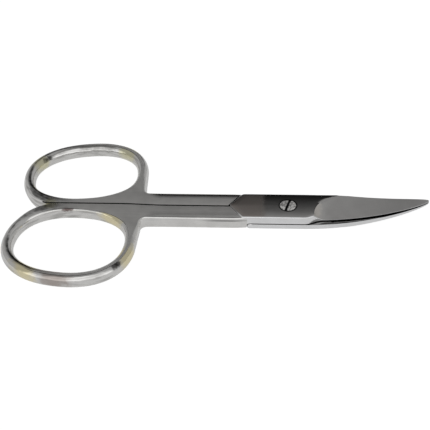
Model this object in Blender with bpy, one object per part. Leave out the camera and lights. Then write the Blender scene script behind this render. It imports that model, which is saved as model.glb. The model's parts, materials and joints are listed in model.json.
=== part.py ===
"""Curved nail scissors, lying closed on a table: two crossing halves on a slotted pivot screw.

Each half is one piece: a finger bow, a shank, a joint plate and a blade. The upper half has its bow on
the -Y side and the lower half on the +Y side, and they cross at the pivot. Lengths are in metres.

Two plans are used. A handle is drawn in (x, v), where v is the distance from the centre line out to its
own bow. A blade is drawn in (x, s, t): s runs from the centre line towards the spine, and t is the
depth from the flat inner face, where the two blades meet, to the outer face.
"""

import math
from collections import namedtuple

import bmesh
import bpy
from mathutils import Matrix, Vector

# Reach of the main points from the pivot, along the closed scissors
TIP_REACH = 0.0300
CROTCH_REACH = 0.0319
UPPER_SHOULDER_REACH = 0.0099
LOWER_SHOULDER_REACH = 0.0086
SHOULDER_POINT = 0.0029
HANDLE_END_REACH = 0.0062

# Heights of the stacked layers, from the table up
LOWER_PLATE_THICKNESS = 0.00124
JOINT_GAP = 0.00025
UPPER_PLATE_THICKNESS = 0.00195
PLATE_CROWN = 0.00012
RIDE_RISE = 0.00002
SHANK_CLEAR_OF_TABLE = 0.00008
SHANK_THICKNESS = 0.00310
SHANK_CROWN = 0.00012

# Widths on each side of the centre line, and the line between the closed shanks
JOINT_HALF_WIDTH = 0.00392
SHANK_SET_IN = 0.00005
SHANK_HALF_WIDTH = 0.00414
SHANK_WIDENING_START = 0.0075
SHANK_WIDENING_LENGTH = 0.0045
CENTRE_HALF_GAP = 0.000165
CENTRE_SHIFT = 0.00022
CENTRE_SHIFT_START = 0.0270
CENTRE_SHIFT_LENGTH = 0.0100
SHOULDER_GAP = 0.00036

# Finger bows: a squared oval of wire, tilted outwards at the front
BOW_HALF_LENGTH = 0.01308
BOW_HALF_WIDTH = 0.01050
BOW_INNER_OFFSET = 0.00075
BOW_TILT = math.radians(6.6)
BOW_SQUARENESS = 2.26
BOW_EGG_SHARE = 0.026
BOW_HALF_WIRE = 0.00129
BOW_THICKNESS = 0.00320
BOW_CREST_HALF_WIDTH = 0.00012
CROTCH_DEPTH = 0.00060
CROTCH_FILLET = 0.00130
FLAT_TOP_FADE = 0.00550
WEB_SIDE_SHARES = (0.2, 0.4, 0.6, 0.8)
CROWN_LINE_SHARES = (-0.6, -0.2, 0.2, 0.6)

# Edge roundings
SHANK_EDGE = 0.00035
CENTRE_EDGE = 0.00015
BOW_HOLE_EDGE = 0.00045
PLATE_EDGE = 0.00022
SPINE_EDGE = 0.00005
INNER_EDGE = 0.00003
SHOULDER_ROUND = 0.00060
MITRE_LEAST_SHARE = 0.5
THIN_EDGE_SHARE = 0.6

# Blades: plan, upward bend, ground bevel and hollow inner face
BLADE_TAPER_START = 0.0030
BLADE_TAPER_POWER = 1.75
BLADE_TAPER_FALL = 0.68
EDGE_INSET = 0.00125
EDGE_INSET_POWER = 1.4
CHOIL_START = 0.0035
CHOIL_LENGTH = 0.0039
BEND_START = 0.0040
BEND_RADIUS = 0.0970
CUTTING_EDGE_THICKNESS = 0.00012
TIP_THICKNESS = 0.00030
TIP_BLUNT = 0.00006
UPPER_THINNING_POWER = 1.8
LOWER_THINNING_POWER = 0.8
BEVEL_START = 0.0056
BEVEL_SPINE_REACH = 0.0112
BEVEL_SPINE_SHARE = 0.915
BEVEL_EDGE_SHARE = -0.74
BEVEL_ARC_HEIGHT = 0.0065
BEVEL_ARC_MOST_SHARE = 0.99
BEVEL_EDGE_SETBACK = 0.0014
BEVEL_RUN_OUT = 0.0024
LEAST_GROUND_WIDTH = 0.00046
HOLLOW_DEPTH = 0.00012
HOLLOW_START = 0.0070
HOLLOW_FADE = 0.0050

# Pivot screw and its holes
SCREW_HEAD_RADIUS = 0.00185
SCREW_HEAD_RIM = 0.00065
SCREW_DOME = 0.00035
SCREW_HEAD_SINK = 0.00010
SCREW_SHAFT_RADIUS = 0.00115
SCREW_END_RECESS = 0.00010
SCREW_SLOT_WIDTH = 0.00055
SCREW_SLOT_DEPTH = 0.00055
SCREW_SLOT_ANGLE = math.radians(73.0)
PIVOT_CLEARANCE = 0.00010
HEAD_CLEARANCE = 0.00020

# How far a cutter runs past what it cuts, and how close two points are one
OVERRUN = 0.0020
WELD = 0.000001

# Facets
BOW_STEPS = 56
TRAVEL_STEPS = 1200
CENTRE_STEPS = 16
SHANK_STEPS = 10
FADE_STEPS = 4
ROUNDING_STEPS = 4
FILLET_STEPS = 4
BLADE_STEPS = 14
WIDTH_STEPS = 10
SIDE_STEPS = 6
RIM_STEPS = 2
PLATE_RINGS = 2
SEARCH_STEPS = 30
TURN_STEPS = 40
QUARTER_TURN = math.pi / 2
SHARP_ANGLE = math.radians(30)

# Colours of bare steel, and how each surface is finished
SATIN_STEEL = (0.56, 0.56, 0.55, 1.0)
POLISHED_STEEL = (0.50, 0.49, 0.48, 1.0)
SATIN_ROUGHNESS = 0.28
POLISHED_ROUGHNESS = 0.18

LOWER_INNER_FACE = LOWER_PLATE_THICKNESS
UPPER_INNER_FACE = LOWER_PLATE_THICKNESS + JOINT_GAP
UPPER_FACE = UPPER_INNER_FACE + UPPER_PLATE_THICKNESS
SHANK_MIDDLE = SHANK_CLEAR_OF_TABLE + SHANK_THICKNESS / 2

Rim = namedtuple("Rim", "x y inset drop under", defaults=(None,))
Half = namedtuple("Half", "side inner_face outward plate crown shoulder other_shoulder thinning")
UPPER = Half(
    side=-1,
    inner_face=UPPER_INNER_FACE,
    outward=1,
    plate=UPPER_PLATE_THICKNESS,
    crown=PLATE_CROWN,
    shoulder=UPPER_SHOULDER_REACH,
    other_shoulder=LOWER_SHOULDER_REACH,
    thinning=UPPER_THINNING_POWER,
)
LOWER = Half(
    side=1,
    inner_face=LOWER_INNER_FACE,
    outward=-1,
    plate=LOWER_PLATE_THICKNESS,
    crown=0.0,
    shoulder=LOWER_SHOULDER_REACH,
    other_shoulder=UPPER_SHOULDER_REACH,
    thinning=LOWER_THINNING_POWER,
)


def clamped(value, low=0.0, high=1.0):
    return max(low, min(high, value))


def eased(value):
    """A smooth step from 0 to 1."""
    value = clamped(value)
    return value * value * (3 - 2 * value)


def mixed(first, second, share):
    return first + (second - first) * share


def spaced(first, last, steps):
    return [mixed(first, last, step / steps) for step in range(steps + 1)]


def start_scene():
    for obj in list(bpy.data.objects):
        bpy.data.objects.remove(obj, do_unlink=True)


def steel(name, colour, roughness):
    material = bpy.data.materials.new(name)
    material.use_nodes = True
    shader = material.node_tree.nodes["Principled BSDF"]
    shader.inputs["Base Color"].default_value = colour
    shader.inputs["Metallic"].default_value = 1.0
    shader.inputs["Roughness"].default_value = roughness
    return material


def mesh_object(name, mesh):
    """An object from a bmesh, with its faces turned outwards."""
    bmesh.ops.recalc_face_normals(mesh, faces=mesh.faces)
    data = bpy.data.meshes.new(name)
    mesh.to_mesh(data)
    mesh.free()
    obj = bpy.data.objects.new(name, data)
    bpy.context.scene.collection.objects.link(obj)
    return obj


def combined(target, operation, other):
    """Applies one Boolean to the target, and removes the other object."""
    modifier = target.modifiers.new(operation.title(), "BOOLEAN")
    modifier.operation = operation
    modifier.object = other
    modifier.solver = "EXACT"
    graph = bpy.context.evaluated_depsgraph_get()
    result = bpy.data.meshes.new_from_object(target.evaluated_get(graph))
    target.modifiers.clear()
    target.data = result
    bpy.data.objects.remove(other, do_unlink=True)


def inward_normals(points):
    """A mitred unit normal at each point of a closed loop, to the left of its travel."""
    normals = []
    for index, point in enumerate(points):
        before = (point - points[index - 1]).normalized()
        after = (points[(index + 1) % len(points)] - point).normalized()
        normal = Vector((-before.y - after.y, before.x + after.x))
        mitre = normal.length / 2
        normals.append(normal.normalized() / max(mitre, MITRE_LEAST_SHARE))
    return normals


def slab(loops, profile):
    """A closed slab over plan loops that keep their material on the left.

    The profile gives (inset, height) pairs for one rim point, from the bottom face to the top face.
    """
    mesh = bmesh.new()
    ends = [], []
    for loop in loops:
        points = [Vector((rim.x, rim.y)) for rim in loop]
        normals = inward_normals(points)
        columns = []
        for rim, point, normal in zip(loop, points, normals):
            places = [(point + normal * inset, height) for inset, height in profile(rim)]
            columns.append([mesh.verts.new((*place, height)) for place, height in places])
        for first, second in zip(columns, columns[1:] + columns[:1]):
            for level in range(len(first) - 1):
                mesh.faces.new((first[level], second[level], second[level + 1], first[level + 1]))
            for end, level in zip(ends, (0, -1)):
                end.append(mesh.edges.get((first[level], second[level])))
    for end in ends:
        bmesh.ops.triangle_fill(mesh, edges=end, use_beauty=True)
    bmesh.ops.recalc_face_normals(mesh, faces=mesh.faces)
    return mesh


def diced(mesh, axis, places, from_x):
    """Cuts edges into the faces beyond from_x, so that they can be curved."""
    for place in places:
        faces = [face for face in mesh.faces if face.calc_center_median().x > from_x]
        edges = {edge for face in faces for edge in face.edges}
        verts = {vert for face in faces for vert in face.verts}
        bmesh.ops.bisect_plane(
            mesh,
            geom=[*verts, *edges, *faces],
            plane_co=axis * place,
            plane_no=axis,
            dist=WELD,
        )


def filleted(corners, steps):
    """Rounds the corners of an open run of (point, radius) pairs."""
    points = [corners[0][0]]
    for (before, _), (corner, radius), (after, _) in zip(corners, corners[1:], corners[2:]):
        to_before = (before - corner).normalized()
        to_after = (after - corner).normalized()
        half_angle = to_before.angle(to_after) / 2
        middle = corner + (to_before + to_after).normalized() * radius / math.sin(half_angle)
        first = corner + to_before * radius / math.tan(half_angle) - middle
        last = corner + to_after * radius / math.tan(half_angle) - middle
        turn = first.angle_signed(last)
        for share in spaced(0, 1, steps):
            points.append(middle + Matrix.Rotation(-turn * share, 2) @ first)
    points.append(corners[-1][0])
    return points


def bow_point(turn, offset):
    """A point of the squared oval, moved outwards from the wire's middle line by the offset."""

    def on_middle_line(angle):
        cosine, sine = math.cos(angle), math.sin(angle)
        x = BOW_HALF_LENGTH * math.copysign(abs(cosine) ** (2 / BOW_SQUARENESS), cosine)
        v = BOW_HALF_WIDTH * math.copysign(abs(sine) ** (2 / BOW_SQUARENESS), sine)
        return Vector((x, v * (1 + BOW_EGG_SHARE * x / BOW_HALF_LENGTH)))

    little = math.pi / TRAVEL_STEPS
    travel = on_middle_line(turn + little) - on_middle_line(turn - little)
    outward = Vector((travel.y, -travel.x)).normalized()
    place = Matrix.Rotation(BOW_TILT, 2) @ (on_middle_line(turn) + outward * offset)
    middle_x = -(CROTCH_REACH + BOW_HALF_WIRE + BOW_HALF_LENGTH)
    return place + Vector((middle_x, BOW_HALF_WIDTH + BOW_INNER_OFFSET))


def shank_half_width(x):
    """Half the width over both closed shanks, which narrow into the joint."""
    widened = eased((-x - SHANK_WIDENING_START) / SHANK_WIDENING_LENGTH)
    return mixed(JOINT_HALF_WIDTH - SHANK_SET_IN, SHANK_HALF_WIDTH, widened)


def centre_edge(half, x):
    """Where a handle ends along the centre, which drifts to the lower half's side between the bows."""
    drifted = eased((-x - CENTRE_SHIFT_START) / CENTRE_SHIFT_LENGTH)
    return CENTRE_HALF_GAP + half.side * CENTRE_SHIFT * drifted


def centre_turn(half):
    """The turn at which the outside of a bow meets its centre edge."""
    outer, inner = math.pi, 3 * QUARTER_TURN
    for _ in range(SEARCH_STEPS):
        middle = (outer + inner) / 2
        point = bow_point(middle, BOW_HALF_WIRE)
        if point.y > centre_edge(half, point.x):
            outer = middle
        else:
            inner = middle
    return outer


def handle_loops(half):
    """The outside and the finger hole of a handle, as rims in (x, v)."""
    full_inset = BOW_HALF_WIRE - BOW_CREST_HALF_WIDTH
    full_drop = BOW_THICKNESS / 2

    def rim(point, edge, share, under=None):
        return Rim(point.x, point.y, mixed(edge, full_inset, share), mixed(edge, full_drop, share), under)

    turns = [2 * math.pi * (step + 0.5) / BOW_STEPS for step in range(BOW_STEPS)]
    hole = []
    for turn in reversed(turns):
        point = bow_point(turn, -BOW_HALF_WIRE)
        share = eased((point.y - BOW_INNER_OFFSET - BOW_HALF_WIRE) / FLAT_TOP_FADE)
        hole.append(rim(point, BOW_HOLE_EDGE, share, under=(full_inset, full_drop)))

    front = bow_point(-BOW_TILT, BOW_HALF_WIRE)
    shank_root = Vector((front.x, shank_half_width(front.x)))
    widened_x = -SHANK_WIDENING_START - SHANK_WIDENING_LENGTH
    shank = [Vector((x, shank_half_width(x))) for x in spaced(-HANDLE_END_REACH, widened_x, SHANK_STEPS)]
    crotch = filleted([(shank[-1], 0), (shank_root, CROTCH_FILLET), (front, 0)], FILLET_STEPS)
    web_top = shank_root.y + CROTCH_DEPTH
    last_turn = centre_turn(half)
    outside = []
    for x in spaced(bow_point(last_turn, BOW_HALF_WIRE).x, -HANDLE_END_REACH, CENTRE_STEPS):
        outside.append(rim(Vector((x, centre_edge(half, x))), CENTRE_EDGE, 0))
    web_side = [crotch[-1] * share + crotch[-2] * (1 - share) for share in WEB_SIDE_SHARES]
    for point in shank + crotch[1:-1] + web_side:
        share = eased((point.y - web_top) / (front.y - web_top))
        outside.append(rim(point, SHANK_EDGE, share))
    for turn in turns:
        if turn < last_turn - math.pi / BOW_STEPS:
            point = bow_point(turn, BOW_HALF_WIRE)
            above = point.y - centre_edge(half, point.x)
            share = eased(above / FLAT_TOP_FADE) if turn > QUARTER_TURN else 1
            outside.append(rim(point, CENTRE_EDGE, share))
    return outside, hole


def handle_profile(rim):
    half_height = BOW_THICKNESS / 2
    pairs = []
    for step in range(-ROUNDING_STEPS, ROUNDING_STEPS + 1):
        angle = QUARTER_TURN * step / ROUNDING_STEPS
        inset, drop = rim.under if rim.under and step < 0 else (rim.inset, rim.drop)
        height = math.copysign(half_height - drop, angle) + drop * math.sin(angle) if step else 0.0
        pairs.append((inset * (1 - math.cos(angle)), height))
    return pairs


def handle(half):
    """Bow, web and shank, from the finger hole to under the joint plate."""
    mesh = slab(handle_loops(half), handle_profile)
    shank_from = -CROTCH_REACH - FLAT_TOP_FADE
    middle = (SHANK_HALF_WIDTH + CENTRE_HALF_GAP) / 2
    half_width = middle - CENTRE_HALF_GAP
    crown_lines = [middle + half_width * share for share in CROWN_LINE_SHARES]
    diced(mesh, Vector((0, 1, 0)), crown_lines, shank_from)
    diced(mesh, Vector((1, 0, 0)), spaced(shank_from, -CROTCH_REACH + FLAT_TOP_FADE, FADE_STEPS), shank_from)
    bmesh.ops.triangulate(mesh, faces=mesh.faces)
    bow_half = BOW_THICKNESS / 2
    for vert in mesh.verts:
        on_shank = eased((vert.co.x - shank_from) / (2 * FLAT_TOP_FADE))
        level = vert.co.z / bow_half
        across = clamped(abs(vert.co.y - middle) / half_width)
        crown = SHANK_CROWN * on_shank * across**2
        half_height = mixed(bow_half, SHANK_THICKNESS / 2, on_shank) - crown
        vert.co.z = mixed(bow_half, SHANK_MIDDLE, on_shank) + level * half_height
        vert.co.y *= half.side
    obj = mesh_object("handle", mesh)
    combined(obj, "DIFFERENCE", shoulder_pocket(half))
    return obj


def shoulder_points(shoulder, half_width):
    """The pointed back end of a joint plate: side, point, side."""
    return [
        Vector((-shoulder, half_width)),
        Vector((-shoulder - SHOULDER_POINT, 0)),
        Vector((-shoulder, -half_width)),
    ]


def shoulder_pocket(half):
    """What a handle gives up to the other half's joint plate, with its clearance."""
    reach = half.other_shoulder + SHOULDER_GAP
    beyond = JOINT_HALF_WIDTH + OVERRUN
    slope = SHOULDER_POINT / JOINT_HALF_WIDTH
    side_x = -reach - SHOULDER_POINT + slope * beyond
    plan = [
        Vector((-reach - SHOULDER_POINT, 0)),
        Vector((side_x, -beyond)),
        Vector((OVERRUN, -beyond)),
        Vector((OVERRUN, beyond)),
        Vector((side_x, beyond)),
    ]
    floor = half.inner_face - half.outward * RIDE_RISE
    ceiling = floor - half.outward * (BOW_THICKNESS + OVERRUN)
    mesh = bmesh.new()
    face = mesh.faces.new([mesh.verts.new((point.x, point.y, floor)) for point in plan])
    point = face.verts[0]
    made = bmesh.ops.extrude_face_region(mesh, geom=[face], use_keep_orig=True)
    moved = [item for item in made["geom"] if isinstance(item, bmesh.types.BMVert)]
    bmesh.ops.translate(mesh, verts=moved, vec=(0, 0, ceiling - floor))
    bmesh.ops.recalc_face_normals(mesh, faces=mesh.faces)
    slanted = [edge for edge in face.edges if point in edge.verts]
    bmesh.ops.bevel(
        mesh,
        geom=slanted,
        offset=SHOULDER_ROUND,
        segments=FILLET_STEPS,
        profile=0.5,
        affect="EDGES",
    )
    return mesh_object("shoulder_pocket", mesh)


def spine_half_width(x):
    along = clamped((x - BLADE_TAPER_START) / (TIP_REACH - BLADE_TAPER_START))
    return JOINT_HALF_WIDTH * (1 - along**BLADE_TAPER_POWER) ** BLADE_TAPER_FALL


def edge_place(x):
    """Where the cutting edge runs, on the side away from the spine."""
    begun = eased((x - CHOIL_START) / CHOIL_LENGTH)
    along = clamped((x - BLADE_TAPER_START) / (TIP_REACH - BLADE_TAPER_START))
    inset = EDGE_INSET * (1 - along**EDGE_INSET_POWER)
    return -max(0.0, spine_half_width(x) - begun * inset)


def spine_thickness(half, x):
    """Depth of the ground blade at its spine, which is the plate's own where the bevel reaches it."""
    left = max(0.0, (TIP_REACH - x) / (TIP_REACH - BEVEL_SPINE_REACH))
    plate = half.plate - half.crown
    return TIP_THICKNESS + (plate - TIP_THICKNESS) * left**half.thinning


def plate_depth(half, s):
    """Depth of the plate's outer face, which is a little crowned."""
    return half.plate - half.crown * (s / JOINT_HALF_WIDTH) ** 2


def bevel_foot(s):
    """How far along the grind leaves the plate, which is along an arc."""
    arc_foot = BEVEL_EDGE_SHARE * JOINT_HALF_WIDTH
    rise = clamped((s - arc_foot) / BEVEL_ARC_HEIGHT, 0, BEVEL_ARC_MOST_SHARE)
    past_arc = clamped((arc_foot - s) / (arc_foot + JOINT_HALF_WIDTH))
    spine_rise = (BEVEL_SPINE_SHARE * JOINT_HALF_WIDTH - arc_foot) / BEVEL_ARC_HEIGHT
    spine_rise = min(spine_rise, BEVEL_ARC_MOST_SHARE)
    arc_length = (BEVEL_SPINE_REACH - BEVEL_START) / (1 - math.sqrt(1 - spine_rise**2))
    return BEVEL_START + arc_length * (1 - math.sqrt(1 - rise**2)) - BEVEL_EDGE_SETBACK * past_arc**2


def foot_across(share):
    """The grind's foot at a share of the blade's width, from the cutting edge to the spine."""
    x = BEVEL_START
    for _ in range(SEARCH_STEPS):
        x = bevel_foot(mixed(edge_place(x), spine_half_width(x), share))
    return x


def bevel_depth(half, x, s):
    """Depth of the ground bevel: a wedge from the cutting edge to the spine, eased in from its foot."""

    def wedge(place):
        edge = edge_place(place)
        width = max(spine_half_width(place) - edge, LEAST_GROUND_WIDTH)
        slope = (spine_thickness(half, place) - CUTTING_EDGE_THICKNESS) / width
        return CUTTING_EDGE_THICKNESS + slope * (s - edge)

    foot = bevel_foot(s)
    drop = max(0.0, plate_depth(half, s) - wedge(foot))
    left = clamped(1 - (x - foot) / BEVEL_RUN_OUT)
    return min(plate_depth(half, s), wedge(x) + drop * left**2)


def hollow(x, s):
    """How deep the inner face is hollowed, between the cutting edge and the spine."""
    width = max(spine_half_width(x) - edge_place(x), INNER_EDGE)
    across = clamped((s - edge_place(x)) / width)
    begun = eased((x - HOLLOW_START) / HOLLOW_FADE) * eased((TIP_REACH - x) / HOLLOW_FADE)
    return HOLLOW_DEPTH * 4 * across * (1 - across) * begun


def bend(x):
    """How far the blades have curved up, away from the table, at x."""
    past = max(0.0, x - BEND_START)
    return BEND_RADIUS - math.sqrt(BEND_RADIUS**2 - past**2)


class BladeMesh:
    """A mesh under construction, in one half's blade coordinates."""

    def __init__(self, half):
        self.half = half
        self.mesh = bmesh.new()

    def vert(self, x, s, t):
        half = self.half
        return self.mesh.verts.new((x, -half.side * s, half.inner_face + half.outward * t + bend(x)))

    def plan(self, vert):
        return Vector((vert.co.x, -self.half.side * vert.co.y))

    def strip(self, first, second, closed=False):
        """Faces between two rows of vertices, which may share some of them."""
        pairs = list(zip(first, second))
        ends = pairs[1:] + (pairs[:1] if closed else [])
        for (a, b), (c, d) in zip(pairs, ends):
            corners = list(dict.fromkeys((a, b, d, c)))
            if len(corners) > 2:
                self.mesh.faces.new(corners)

    def level(self, ring, radius, depth):
        """A round ring in step with another, at one depth."""
        places = [self.plan(vert).normalized() * radius for vert in ring]
        return [self.vert(place.x, place.y, depth) for place in places]

    def disc(self, outer, radius, depth):
        """Fills from an outline in to a round hole, and returns the hole's ring."""
        last = outer
        for share in spaced(1, 0, PLATE_RINGS)[1:]:
            ring = []
            for vert in outer:
                plan = self.plan(vert)
                place = plan.normalized() * mixed(radius, plan.length, share)
                ring.append(self.vert(place.x, place.y, depth(place.y)))
            self.strip(last, ring, closed=True)
            last = ring
        return last


def wall_profile(drop, inset, top):
    """(inset, depth) pairs up a side wall, from the inner face's rounding to the outer face's."""
    angles = [QUARTER_TURN * share for share in spaced(0, 1, RIM_STEPS)]
    low = [(drop * (1 - math.sin(angle)), drop * (1 - math.cos(angle))) for angle in angles]
    high = [(inset * (1 - math.cos(angle)), top - inset * (1 - math.sin(angle))) for angle in angles]
    return low + high


def blade_ring(build, along):
    """One ring round the ground blade: outer row, inner row, spine column and edge column."""
    half = build.half
    shares = spaced(0, 1, WIDTH_STEPS)
    xs = [mixed(foot_across(share), TIP_REACH - TIP_BLUNT, along) for share in shares]
    past_foot = eased((xs[-1] - BEVEL_SPINE_REACH) / BEVEL_RUN_OUT)
    spine_inset = mixed(PLATE_EDGE, SPINE_EDGE, past_foot)
    edge_inset = PLATE_EDGE * bevel_depth(half, xs[0], edge_place(xs[0])) / half.plate
    outer, inner = [], []
    for x, share in zip(xs, shares):
        edge, spine = edge_place(x), spine_half_width(x)
        narrow = min(1.0, (spine - edge) / JOINT_HALF_WIDTH)
        s = mixed(edge + edge_inset * narrow, spine - spine_inset * narrow, share)
        outer.append(build.vert(x, s, bevel_depth(half, x, s)))
        s = mixed(edge + INNER_EDGE * narrow, spine - INNER_EDGE * narrow, share)
        inner.append(build.vert(x, s, hollow(x, s)))

    def column(x, wall, into, inset, ends):
        narrow = min(1.0, (spine_half_width(x) - edge_place(x)) / JOINT_HALF_WIDTH)
        top = bevel_depth(half, x, wall + into * inset * narrow)
        pairs = wall_profile(INNER_EDGE * narrow, min(inset * narrow, top * THIN_EDGE_SHARE), top)
        middle = [build.vert(x, wall + into * gap, depth) for gap, depth in pairs[1:-1]]
        return [ends[0], *middle, ends[1]]

    spine = column(xs[-1], spine_half_width(xs[-1]), -1, spine_inset, (inner[-1], outer[-1]))
    edge = column(xs[0], edge_place(xs[0]), 1, edge_inset, (inner[0], outer[0]))
    return outer, inner, spine, edge


def plate_outline(half):
    """The joint plate's plan, from the grind's foot at the spine round the back to its foot at the edge."""
    corner = SHOULDER_ROUND + PLATE_EDGE
    side, point, other_side = shoulder_points(half.shoulder, JOINT_HALF_WIDTH)
    straight = min(BLADE_TAPER_START, CHOIL_START)
    start = Vector((straight, JOINT_HALF_WIDTH))
    end = Vector((straight, -JOINT_HALF_WIDTH))
    corners = [(start, 0), (side, corner), (point, corner), (other_side, corner), (end, 0)]
    back = filleted(corners, FILLET_STEPS)
    spine = [Vector((x, spine_half_width(x))) for x in spaced(foot_across(1), start.x, SIDE_STEPS)]
    far = [Vector((x, start.y)) for x in spaced(start.x, back[1].x, SIDE_STEPS)]
    near = [Vector((x, end.y)) for x in spaced(back[-2].x, end.x, SIDE_STEPS)]
    edge = [Vector((x, edge_place(x))) for x in spaced(end.x, foot_across(0), SIDE_STEPS)]
    return spine[:-1] + far[:-1] + back[1:-1] + near[1:-1] + edge


def blade(half):
    """Joint plate and blade of one half: ground, hollowed, bent and bored."""
    build = BladeMesh(half)
    rings = [blade_ring(build, math.sin(QUARTER_TURN * share)) for share in spaced(0, 1, BLADE_STEPS)]
    for first, second in zip(rings, rings[1:]):
        for row, next_row in zip(first, second):
            build.strip(row, next_row)
    outer, inner, spine, edge = rings[-1]
    tip = edge + outer[1:] + spine[-2::-1] + inner[-2:0:-1]
    build.mesh.faces.new(tip)

    outer, inner, spine, edge = rings[0]
    outline = plate_outline(half)
    corner = SHOULDER_ROUND + PLATE_EDGE
    columns = [spine]
    for before, place, after in zip(outline, outline[1:], outline[2:]):
        travel = (place - before).normalized() + (after - place).normalized()
        inward = Vector((-travel.y, travel.x)).normalized()
        behind = eased((-place.x - half.shoulder + corner) / corner)
        rim = place + inward * PLATE_EDGE
        pairs = wall_profile(mixed(INNER_EDGE, SHOULDER_ROUND, behind), PLATE_EDGE, plate_depth(half, rim.y))
        columns.append([build.vert(*(place + inward * gap), depth) for gap, depth in pairs])
    columns.append(edge)
    for first, second in zip(columns, columns[1:]):
        build.strip(first, second)

    bore = SCREW_SHAFT_RADIUS + PIVOT_CLEARANCE
    sunk = SCREW_HEAD_RADIUS + HEAD_CLEARANCE
    top_rim = [column[-1] for column in columns] + outer[1:-1]
    bottom_rim = [column[0] for column in columns] + inner[1:-1]
    mouth = build.disc(top_rim, sunk if half is UPPER else bore, lambda s: plate_depth(half, s))
    hole = build.disc(bottom_rim, bore, lambda s: 0.0)
    if half is UPPER:
        seat = head_seat() - half.inner_face
        wide = build.level(mouth, sunk, seat)
        narrow = build.level(mouth, bore, seat)
        build.strip(mouth, wide, closed=True)
        build.strip(wide, narrow, closed=True)
        mouth = narrow
    build.strip(mouth, hole, closed=True)
    return mesh_object("blade", build.mesh)


def turned(name, outline, steps):
    """A solid of revolution about Z, from (radius, height) pairs that start and end on the axis."""
    mesh = bmesh.new()
    verts = [mesh.verts.new((radius, 0, height)) for radius, height in outline]
    edges = [mesh.edges.new(pair) for pair in zip(verts, verts[1:])]
    bmesh.ops.spin(
        mesh,
        geom=verts + edges,
        cent=(0, 0, 0),
        axis=(0, 0, 1),
        angle=2 * math.pi,
        steps=steps,
        use_duplicate=False,
    )
    bmesh.ops.remove_doubles(mesh, verts=mesh.verts, dist=WELD)
    return mesh_object(name, mesh)


def head_seat():
    """Height of the counterbore's floor in the upper plate."""
    return UPPER_FACE - SCREW_HEAD_SINK - SCREW_HEAD_RIM - PIVOT_CLEARANCE


def finished(obj, name, material, pivot):
    """Names a piece, hangs it on the pivot's empty and shades it."""
    obj.name = name
    obj.data.name = name
    obj.data.materials.clear()
    obj.data.materials.append(material)
    mesh = bmesh.new()
    mesh.from_mesh(obj.data)
    bmesh.ops.dissolve_degenerate(mesh, edges=mesh.edges, dist=WELD)
    bmesh.ops.triangulate(mesh, faces=mesh.faces)
    mesh.to_mesh(obj.data)
    mesh.free()
    obj.data.shade_smooth()
    obj.data.set_sharp_from_angle(angle=SHARP_ANGLE)
    obj.parent = pivot


def make_half(half, name, material, pivot):
    body = blade(half)
    combined(body, "UNION", handle(half))
    finished(body, name, material, pivot)


def make_screw(pivot):
    """A slotted screw whose domed head sits in the upper half's counterbore."""
    seat = head_seat() + PIVOT_CLEARANCE
    rim = seat + SCREW_HEAD_RIM
    outline = []
    for share in spaced(0, 1, ROUNDING_STEPS):
        radius = SCREW_HEAD_RADIUS * math.sin(QUARTER_TURN * share)
        outline.append((radius, rim + SCREW_DOME * math.cos(QUARTER_TURN * share)))
    outline += [
        (SCREW_HEAD_RADIUS, seat),
        (SCREW_SHAFT_RADIUS, seat),
        (SCREW_SHAFT_RADIUS, SCREW_END_RECESS),
        (0, SCREW_END_RECESS),
    ]
    screw = turned("pivot_screw", outline, TURN_STEPS)
    slot = bmesh.new()
    bmesh.ops.create_cube(slot, size=1.0)
    bmesh.ops.scale(
        slot,
        verts=slot.verts,
        vec=(2 * (SCREW_HEAD_RADIUS + OVERRUN), SCREW_SLOT_WIDTH, 2 * SCREW_SLOT_DEPTH),
    )
    bmesh.ops.rotate(slot, verts=slot.verts, matrix=Matrix.Rotation(SCREW_SLOT_ANGLE, 3, "Z"))
    bmesh.ops.translate(slot, verts=slot.verts, vec=(0, 0, rim + SCREW_DOME))
    combined(screw, "DIFFERENCE", mesh_object("screw_slot", slot))
    finished(screw, "pivot_screw", steel("screw_steel", SATIN_STEEL, SATIN_ROUGHNESS), pivot)


def make_pivot():
    """An empty on the joint's axis, placed so that the whole part stands about the origin."""
    back = min(rim.x for rim in handle_loops(UPPER)[0])
    pivot = bpy.data.objects.new("pivot_axis", None)
    pivot.location.x = -(TIP_REACH - TIP_BLUNT + back) / 2
    bpy.context.scene.collection.objects.link(pivot)
    return pivot


def main():
    start_scene()
    pivot = make_pivot()
    make_half(UPPER, "upper_half", steel("upper_steel", POLISHED_STEEL, POLISHED_ROUGHNESS), pivot)
    make_half(LOWER, "lower_half", steel("lower_steel", POLISHED_STEEL, POLISHED_ROUGHNESS), pivot)
    make_screw(pivot)


main()
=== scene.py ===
"""The finish of a pair of curved nail scissors: fine steel surfaces, a white table and soft studio light.

The two halves and the pivot screw are made again here, from the same sizes as the solids that they stand
for, with finer steps, a crisp line where each blade's grind begins, and a finish for every surface.
Lengths are in metres. A blade is drawn in (x, s, t): s runs from the centre line towards the spine, and t
is the depth from the flat inner face to the outer face. A handle is drawn in (x, v), where v is the
distance from the centre line out to its own bow.
"""

import json
import math
from collections import namedtuple

import bmesh
import bpy
from mathutils import Matrix, Vector


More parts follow.
